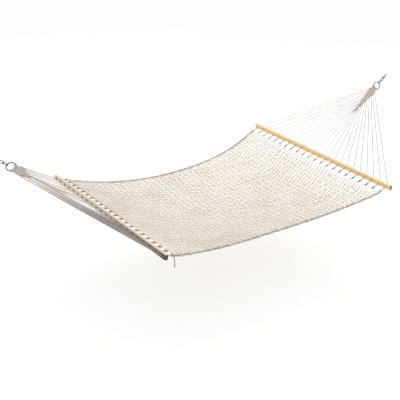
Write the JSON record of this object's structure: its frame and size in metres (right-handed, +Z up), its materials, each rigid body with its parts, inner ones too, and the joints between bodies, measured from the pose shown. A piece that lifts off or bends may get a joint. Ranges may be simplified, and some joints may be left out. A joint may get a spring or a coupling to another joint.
{
  "type": "rope hammock",
  "caption": "Rope hammock with a curved open net, wooden spreader bars, fanned woven clews, steel rings, short chains and S-hooks, hung level.",
  "frame": {"origin": "centre of the head S-hook's open bend, where the head anchor's eye sits", "axes": "+X along the hammock from the head hook to the foot hook, +Y to its far side, +Z up"},
  "size_m": [3.1614, 1.415, 0.7059],
  "materials": {
    "bar_wood": "varnished",
    "zinc_steel": "zinc plated",
    "net_rope": "twisted cotton",
    "edge_rope": "twisted cotton",
    "clew_rope": "twisted cotton"
  },
  "bodies": {
    "anchor_hooks": {"head_s_hook": "zinc_steel", "foot_s_hook": "zinc_steel"},
    "bed": {"bed_net": "net_rope", "near_edge_rope": "edge_rope", "far_edge_rope": "edge_rope"},
    "head_outer_link": {"head_chain_link_outer": "zinc_steel"},
    "head_inner_link": {"head_chain_link_inner": "zinc_steel"},
    "head_end": {"head_ring": "zinc_steel", "head_ring_rope_loops": "clew_rope", "head_gathered_strings": "clew_rope", "head_woven_clew_mat": "clew_rope", "head_clew_strings": "clew_rope", "head_spreader_bar": "bar_wood", "head_stopper_knots": "clew_rope", "head_near_corner_knot": "clew_rope", "head_far_corner_knot": "clew_rope", "near_edge_rope_tail": "edge_rope"},
    "foot_outer_link": {"foot_chain_link_outer": "zinc_steel"},
    "foot_inner_link": {"foot_chain_link_inner": "zinc_steel"},
    "foot_end": {"foot_ring": "zinc_steel", "foot_ring_rope_loops": "clew_rope", "foot_gathered_strings": "clew_rope", "foot_woven_clew_mat": "clew_rope", "foot_clew_strings": "clew_rope", "foot_spreader_bar": "bar_wood", "foot_stopper_knots": "clew_rope", "foot_near_corner_knot": "clew_rope", "foot_far_corner_knot": "clew_rope"}
  },
  "joints": [
    {"name": "bed_swing", "type": "hinge", "parent": "anchor_hooks", "child": "bed", "pos_m": [0.02021, 0, -0.01547], "axis": [1, 0, 0], "range_deg": [-20, 20]},
    {"name": "head_bar_roll", "type": "hinge", "parent": "bed", "child": "head_end", "pos_m": [0.08512, 0, -0.06517], "axis": [-0.794, 0, 0.6079], "range_deg": [-15, 15], "stiffness_Nm_per_rad": 6},
    {"name": "foot_bar_roll", "type": "hinge", "parent": "bed", "child": "foot_end", "pos_m": [3.05712, 0, -0.06517], "axis": [0.794, 0, 0.6079], "range_deg": [-15, 15], "stiffness_Nm_per_rad": 6},
    {"name": "head_inner_link_turn", "type": "hinge", "parent": "bed", "child": "head_inner_link", "pos_m": [0.06892, 0, -0.05277], "axis": [-0.794, 0, 0.6079], "range_deg": [-8, 8]},
    {"name": "head_outer_link_turn", "type": "hinge", "parent": "bed", "child": "head_outer_link", "pos_m": [0.04558, 0, -0.03489], "axis": [-0.794, 0, 0.6079], "range_deg": [-8, 8]},
    {"name": "foot_inner_link_turn", "type": "hinge", "parent": "bed", "child": "foot_inner_link", "pos_m": [3.07332, 0, -0.05277], "axis": [0.794, 0, 0.6079], "range_deg": [-8, 8]},
    {"name": "foot_outer_link_turn", "type": "hinge", "parent": "bed", "child": "foot_outer_link", "pos_m": [3.09666, 0, -0.03489], "axis": [0.794, 0, 0.6079], "range_deg": [-8, 8]}
  ]
}
